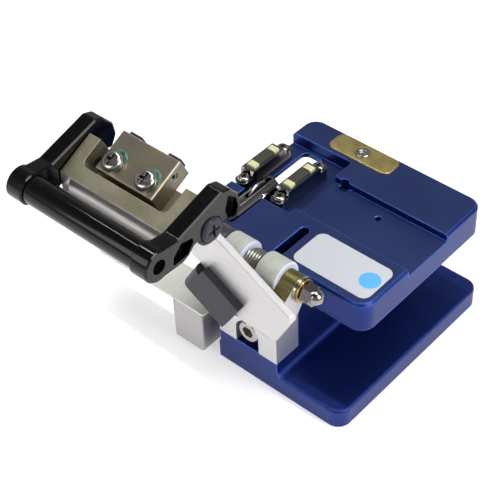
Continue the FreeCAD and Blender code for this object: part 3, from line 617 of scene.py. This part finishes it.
def copy_of(node, name):
    """A merged copy of a node's mesh, which stands for the node."""
    begin()
    piece = bpy.data.objects.new(name, nodes[node].data.copy())
    scene.collection.objects.link(piece)
    bpy.context.view_layer.objects.active = piece
    piece.select_set(True)
    bpy.ops.object.mode_set(mode="EDIT")
    bpy.ops.mesh.select_all(action="SELECT")
    bpy.ops.mesh.remove_doubles(threshold=2 * weld)
    bpy.ops.mesh.customdata_custom_splitnormals_clear()
    bpy.ops.object.mode_set(mode="OBJECT")
    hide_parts(node)
    return piece


def shift_points(piece, test, move):
    """Moves the points of a piece that pass a test, as by hand with the move tool."""
    for point in piece.data.vertices:
        point.select = test(point.co / MM)
    for edge in piece.data.edges:
        edge.select = all(piece.data.vertices[i].select for i in edge.vertices)
    for face in piece.data.polygons:
        face.select = all(piece.data.vertices[i].select for i in face.vertices)
    moved = sum(point.select for point in piece.data.vertices)
    bpy.ops.object.mode_set(mode="EDIT")
    bpy.ops.transform.translate(value=[v * MM for v in move])
    bpy.ops.object.mode_set(mode="OBJECT")
    print(piece.name, moved, "points moved")


def rounded_cutter(low, high, corner):
    """A block with round upright edges, for cutting a pocket."""
    begin()
    middle = [(a + b) / 2 * MM for a, b in zip(low, high)]
    bpy.ops.mesh.primitive_cube_add(size=1, location=middle)
    block = bpy.context.object
    block.scale = [(b - a) * MM for a, b in zip(low, high)]
    bpy.ops.object.transform_apply(location=True, rotation=True, scale=True)
    bpy.ops.object.mode_set(mode="EDIT")
    bpy.ops.mesh.select_mode(type="EDGE")
    bpy.ops.mesh.select_all(action="DESELECT")
    bpy.ops.object.mode_set(mode="OBJECT")
    for edge in block.data.edges:
        first, second = (block.data.vertices[i].co for i in edge.vertices)
        edge.select = (first - second).xy.length < weld
    bpy.ops.object.mode_set(mode="EDIT")
    bpy.ops.mesh.bevel(offset=corner * MM, segments=8)
    bpy.ops.object.mode_set(mode="OBJECT")
    return block


def cut(piece, cutters):
    """Cuts each block out of the piece, then throws the block away."""
    for block in cutters:
        begin()
        bpy.context.view_layer.objects.active = piece
        piece.select_set(True)
        bpy.ops.object.modifier_add(type="BOOLEAN")
        tool = piece.modifiers[-1]
        tool.operation = "DIFFERENCE"
        tool.solver = "EXACT"
        tool.object = block
        bpy.ops.object.modifier_apply(modifier=tool.name)
        bpy.data.objects.remove(block)


def smooth(piece, degrees=32):
    """Shades the piece smooth, except across edges sharper than the angle."""
    begin()
    bpy.context.view_layer.objects.active = piece
    piece.select_set(True)
    bpy.ops.object.shade_smooth_by_angle(angle=math.radians(degrees))


# %% [markdown]
# ## The deck and its keeper
#
# The slot for the blade runs on under both anvils to the far end of the recess, with a wider
# pocket milled from below, so that only a thin floor is left and light shows through.  The
# deck's solid has the short slot.  A copy of it is cut with rounded blocks and stands for the
# node.  The deck could be drawn again from nothing, but a cut keeps every other edge as it is.
# The gilt keeper is longer than its solid, so a copy is drawn out at both ends, and the deck
# gets the recess for it.

# %% Deck with its through slot
blade_low, blade_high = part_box("blade")
deck_low, deck_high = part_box("deck_plate")
keeper_low, keeper_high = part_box("keeper_plate")

# all in mm
deck_face = deck_high.z / MM
deck_underside = deck_low.z / MM
cut_plane = (blade_low.x + blade_high.x) / 2 / MM
slot_half = 4.3
slot_ends = -24.6, 26.0
slot_corner = 2.5
pocket_sides = -35.6, -21.2
pocket_ends = -7.6, 30.4
recess_deep = 4.9
recess_floor = 1.05                 # what the pocket leaves under the recess
keeper_ends = -24.1, 3.3
keeper_corner = 3.0
keeper_gap = 0.1
keeper_waist = 6                    # points nearer the keeper's middle than this stay
past = 1                            # a cutter stands out this far beyond what it cuts


def deck_top():
    piece = copy_of("deck_plate", "deck_top")
    below = deck_underside - past
    above = deck_face + past
    slot = rounded_cutter((cut_plane - slot_half, slot_ends[0], below),
                          (cut_plane + slot_half, slot_ends[1], above), slot_corner)
    pocket_roof = deck_face - recess_deep - recess_floor
    pocket = rounded_cutter((pocket_sides[0], pocket_ends[0], below),
                            (pocket_sides[1], pocket_ends[1], pocket_roof), slot_corner)
    seat = rounded_cutter((keeper_ends[0] - keeper_gap, keeper_low.y / MM - keeper_gap,
                           keeper_low.z / MM),
                          (keeper_ends[1] + keeper_gap, keeper_high.y / MM + keeper_gap, above),
                          keeper_corner)
    cut(piece, [slot, pocket, seat])
    smooth(piece)
    finish_piece("deck_top", finishes["anodised_blue"], "base", "anodised_blue")


def keeper():
    piece = copy_of("keeper_plate", "keeper_cover")
    middle = (keeper_low.x + keeper_high.x) / 2 / MM
    left = keeper_ends[0] - keeper_low.x / MM
    right = keeper_ends[1] - keeper_high.x / MM
    shift_points(piece, lambda p: p.x < middle - keeper_waist, (left, 0, 0))
    shift_points(piece, lambda p: p.x > middle + keeper_waist, (right, 0, 0))
    smooth(piece)
    finish_piece("keeper_cover", finishes["gold_plate"], "base", "gold_plate")


deck_top()
keeper()

# %% [markdown]
# ## The hinge
#
# The pin carries two thick plastic sleeves with the spring between them, and the hub of the
# lid's arm fills the rest.  The sleeves are fatter than their solids and the spring is longer,
# the ear that holds the pin is narrower, and the domed nut is smaller.  The sleeves are turned
# again from a cylinder, with a small round at each rim, and so is a collar on the hub.  The
# spring, the bracket and the nut are copies that are stretched, pushed in and shrunk.

# %% Sleeves, collar, spring, ear and nut
# all in mm, and along the pin from left to right
pin = Vector((0, -36.9, 53.0))
hub_left = -20.4
spring_span = -3.0, 3.6
spring_gap = 0.05
ear_left = 12.7
ear_left_of_solid = 8.5
ear_foot = 42.5                     # height at which the ear rises from the web
ear_gap = 0.1
sleeve_length = 8.6                 # of the left sleeve; the right one fills its place
sleeve_radius, sleeve_bore, sleeve_rim = 6.4, 2.75, 0.6
collar_gap = 9.0                    # from the spring's left end to the collar
collar_radius, collar_bore, collar_rim = 6.2, 4.9, 0.8
nut_scale = 0.94, 0.82, 0.82
body_of_left = body_of(nodes["sleeve_left"])[0]


def turned_ring(name, start, stop, radius, bore, rim, finish, body, slot):
    """A ring round the hinge pin, with a round on each rim."""
    begin()
    bpy.ops.mesh.primitive_cylinder_add(vertices=96, radius=radius * MM, depth=(stop - start) * MM,
                                        end_fill_type="NOTHING", rotation=(0, math.pi / 2, 0),
                                        location=((start + stop) / 2 * MM, pin.y * MM, pin.z * MM))
    bpy.ops.object.transform_apply(location=True, rotation=True, scale=True)
    ring = bpy.context.object
    bpy.ops.object.modifier_add(type="SOLIDIFY")
    wall = ring.modifiers[-1]
    wall.thickness = (radius - bore) * MM
    wall.offset = -1
    bpy.ops.object.modifier_apply(modifier=wall.name)
    bpy.ops.object.modifier_add(type="BEVEL")
    soft = ring.modifiers[-1]
    soft.width = rim * MM
    soft.segments = 4
    soft.limit_method = "ANGLE"
    bpy.ops.object.modifier_apply(modifier=soft.name)
    mend_normals()
    smooth(ring, 40)
    return finish_piece(name, finish, body, slot)


def hinge_bodies():
    sleeve = sleeve_radius, sleeve_bore, sleeve_rim
    start, stop = spring_span[1] + spring_gap, ear_left - ear_gap
    right_sleeve = turned_ring("sleeve_near_ear", start, stop, *sleeve,
                               sleeve_plastic("sleeve_right_plastic", stop * MM),
                               "base", "white_plastic")
    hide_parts("sleeve_right")
    start, stop = spring_span[0] - sleeve_length, spring_span[0] - spring_gap
    left_sleeve = turned_ring("sleeve_near_hub", start, stop, *sleeve,
                              sleeve_plastic("sleeve_left_plastic", stop * MM),
                              body_of_left, "white_plastic")
    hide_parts("sleeve_left")
    turned_ring("hub_collar", hub_left, spring_span[0] - collar_gap,
                collar_radius, collar_bore, collar_rim,
                finishes["dark_metal"], "lid", "dark_metal")


def spring():
    low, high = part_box("hinge_spring")
    piece = copy_of("hinge_spring", "coil")
    wide = (spring_span[1] - spring_span[0]) * MM / (high.x - low.x)
    middle = (low + high) / 2
    bpy.ops.object.mode_set(mode="EDIT")
    bpy.ops.mesh.select_all(action="SELECT")
    bpy.ops.transform.resize(value=(wide, 1, 1), center_override=middle)
    bpy.ops.transform.translate(value=(sum(spring_span) / 2 * MM - middle.x, 0, 0))
    bpy.ops.object.mode_set(mode="OBJECT")
    smooth(piece, 60)
    finish_piece("coil", finishes["spring_steel"], "base", "spring_steel")


def bracket():
    alloy = bracket_alloy()
    piece = copy_of("hinge_bracket", "bracket_body")
    shift_points(piece, lambda p: abs(p.x - ear_left_of_solid) < 0.02 and p.z > ear_foot,
                 (ear_left - ear_left_of_solid, 0, 0))
    smooth(piece)
    finish_piece("bracket_body", alloy, "base", "light_alloy")


def nut():
    """The domed nut is a little smaller than its solid, and shrinks toward its outer end."""
    outer_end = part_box("cap_nut")[1].x
    piece = copy_of("cap_nut", "domed_nut")
    bpy.ops.object.mode_set(mode="EDIT")
    bpy.ops.mesh.select_all(action="SELECT")
    bpy.ops.transform.resize(value=nut_scale, center_override=(outer_end, pin.y * MM, pin.z * MM))
    bpy.ops.object.mode_set(mode="OBJECT")
    smooth(piece, 24)
    finish_piece("domed_nut", finishes["polished_steel"], "base", "bright_steel")


hinge_bodies()
spring()
bracket()
nut()

# %% [markdown]
# ## Thread lock under the clamp screws
#
# A drop of green thread lock has crept out behind each screw head and set there.  It could be
# sculpted as a blob, but at its size a ring looks the same: it is flattened, tilted with the
# lid's face and pushed back, so that only a crescent of it shows.
# The place of each head is read from the screws' own mesh, one side of their middle at a time.

# %% Thread lock
# all in mm
head_height = 2.9
lock_back, lock_down = 1.5, 1.1     # from the middle of the head, along the lid's face and into it
lock_radius, lock_thick = 2.7, 0.8
lock_scale = 1.1, 1, 0.5


def thread_lock_finish():
    paint = Paint("thread_lock")
    stain = paint.noise(700, 4.0)
    tint = paint.blend(stain.ramp(0.35, 0.7), colour(36, 80, 74), colour(84, 124, 108))
    return paint.set(Base_Color=tint, Roughness=0.3 + 0.2 * stain,
                     Normal=paint.bump(stain, 0.00003, 0.5))


def screw_heads():
    """The middle of each clamp screw's head, from the highest points along the lid's normal."""
    points = [v.co.copy() for v in nodes["clamp_screws"].data.vertices]
    middle = sum(p.x for p in points) / len(points)
    for side in (-1, 1):
        mine = [p for p in points if (p.x - middle) * side > 0]
        top = max(p.dot(lid_normal) for p in mine)
        head = [p for p in mine if top - p.dot(lid_normal) < head_height * MM]
        low, high = (Vector([f(p[i] for p in head) for i in range(3)]) for f in (min, max))
        yield (low + high) / 2


def thread_lock():
    finish = thread_lock_finish()
    for number, middle in enumerate(screw_heads()):
        begin()
        place = middle - lid_normal * lock_down * MM + lid_back * lock_back * MM
        bpy.ops.mesh.primitive_torus_add(
            major_radius=lock_radius * MM, minor_radius=lock_thick * MM,
            major_segments=48, minor_segments=12, rotation=(lid_slope, 0, 0), location=place)
        bpy.ops.object.mode_set(mode="EDIT")
        bpy.ops.mesh.select_all(action="SELECT")
        bpy.ops.transform.resize(value=lock_scale, orient_type="LOCAL", center_override=place)
        mend_normals()
        bpy.ops.object.shade_smooth()
        finish_piece("thread_lock_" + str(number), finish, "lid", "white_plastic")


thread_lock()

# %% [markdown]
# ## The label
#
# A paper label with rounded corners is stuck on the deck.  It starts as a flat square, its
# corners are rounded with the bevel operator on its corner points, and it is drawn out to the
# thickness of the paper.  It could be painted into the deck's finish, but a sheet of its own has
# a sharp rim that catches the light.  Its print is left off: it keeps only a plain blue disc.

# %% Label
# all in mm
label_wide, label_deep, label_thick = 31.5, 16.6, 0.08
label_x, label_y, label_gap = 19.25, -16.1, 0.02
label_corner = 3.0
disc_x, disc_y = 30.5, -16.1
disc_edge = 3.68, 3.84              # the disc fades out between these radii


def label_paper():
    paint = Paint("label_paper")
    x = paint.axis("X") - disc_x * MM
    y = paint.axis("Y") - disc_y * MM
    from_centre = (x * x + y * y).power(0.5)
    disc = 1.0 - from_centre.ramp(*(radius * MM for radius in disc_edge))
    fibre = paint.noise(1800, 5.0)
    paper = paint.blend(fibre.ramp(0.35, 0.7), colour(198, 200, 206), colour(190, 192, 199))
    tint = paint.blend(disc, paper, colour(84, 176, 240))
    return paint.set(Base_Color=tint, Roughness=0.42 + 0.15 * fibre,
                     Normal=paint.bump(fibre, 0.00001, 0.4))


def label():
    begin()
    place = Vector((label_x * MM, label_y * MM, deck_high.z + label_gap * MM))
    bpy.ops.mesh.primitive_plane_add(size=1, location=place)
    bpy.context.object.scale = (label_wide * MM, label_deep * MM, 1)
    bpy.ops.object.transform_apply(location=False, rotation=False, scale=True)
    bpy.ops.object.mode_set(mode="EDIT")
    bpy.ops.mesh.select_all(action="SELECT")
    bpy.ops.mesh.bevel(offset=label_corner * MM, segments=8, affect="VERTICES")
    bpy.ops.mesh.select_all(action="SELECT")
    bpy.ops.mesh.extrude_region_move(TRANSFORM_OT_translate={"value": (0, 0, label_thick * MM)})
    mend_normals()
    finish_piece("label", label_paper(), "base", "white_plastic")


label()

# %% [markdown]
# ## The floor and the light
#
# The tool stands on a pale floor that runs on past the view.  Soft light comes from large lamps
# above, in front and at the right, and a long narrow lamp overhead draws a fine highlight along
# what is round and glossy.  The world fills the shadows.  The floor glows a little, only for the
# camera and for reflections, which makes it white and leaves the shadow on it.

# %% Floor
floor_grey, floor_glow = 0.8, 0.42


def floor():
    begin()
    bpy.ops.mesh.primitive_plane_add(size=6, location=(0, 0, 0))
    ground = bpy.context.object
    ground.name = "floor"
    paint = Paint("floor")
    light_path = paint.tree.nodes.new("ShaderNodeLightPath")
    camera_ray, glossy_ray, through_ray = (
        Wire(paint, light_path.outputs[kind])
        for kind in ("Is Camera Ray", "Is Glossy Ray", "Is Transmission Ray"))
    seen = camera_ray + glossy_ray + through_ray
    glow = paint.blend(seen.limit(), (0, 0, 0, 1), (floor_glow, floor_glow, floor_glow, 1))
    paint.set(Base_Color=(floor_grey, floor_grey, floor_grey, 1), Roughness=0.7,
              Emission_Color=glow, Emission_Strength=1.0)
    ground.data.materials.append(paint.material)
    ground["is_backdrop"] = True


floor()


# %% Lamps and world
def lamp(name, place, aim, size, power):
    """A rectangular lamp at a place in metres, aimed at a point, with its power in watts."""
    light = bpy.data.lights.new(name, "AREA")
    light.shape = "RECTANGLE"
    light.size, light.size_y = size
    light.energy = power
    lamp_object = bpy.data.objects.new(name, light)
    scene.collection.objects.link(lamp_object)
    lamp_object.location = place
    lamp_object.rotation_euler = (Vector(aim) - Vector(place)).to_track_quat("-Z", "Y").to_euler()


lamp("key", (0.9, 0.1, 0.75), (0, 0, 0.03), (0.7, 0.7), 9.0)
lamp("fill", (-0.35, -0.95, 0.6), (0, 0, 0.03), (0.7, 0.6), 3.6)
lamp("top", (-0.1, 0.25, 1.3), (0, 0, 0), (0.8, 0.8), 4.8)
lamp("strip", (-0.1, 0.22, 1.25), (-0.1, 0, 0.05), (1.6, 0.035), 6.5)

# the sky is pale low down and dims toward the top
world = bpy.data.worlds.new("studio")
scene.world = world
world.use_nodes = True
sky = world.node_tree
background = sky.nodes["Background"]
where = sky.nodes.new("ShaderNodeTexCoord")
height = sky.nodes.new("ShaderNodeSeparateXYZ")
fade = sky.nodes.new("ShaderNodeMapRange")
tone = sky.nodes.new("ShaderNodeMix")
tone.data_type = "RGBA"
fade.inputs["From Min"].default_value = 0.15
fade.inputs["From Max"].default_value = 0.85
tone.inputs[6].default_value = (0.75, 0.76, 0.78, 1)
tone.inputs[7].default_value = (0.16, 0.165, 0.18, 1)
sky.links.new(where.outputs["Generated"], height.inputs[0])
sky.links.new(height.outputs["Z"], fade.inputs["Value"])
sky.links.new(fade.outputs["Result"], tone.inputs[0])
sky.links.new(tone.outputs[2], background.inputs["Color"])
background.inputs["Strength"].default_value = 0.62

# %% [markdown]
# ## Finish
#
# The box of the dressed part is printed. The dressed part must not be larger.

# %% Sizes, and the end
seen_box = [list(corner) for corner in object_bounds()]
print("box", [[round(v, 4) for v in corner] for corner in seen_box])
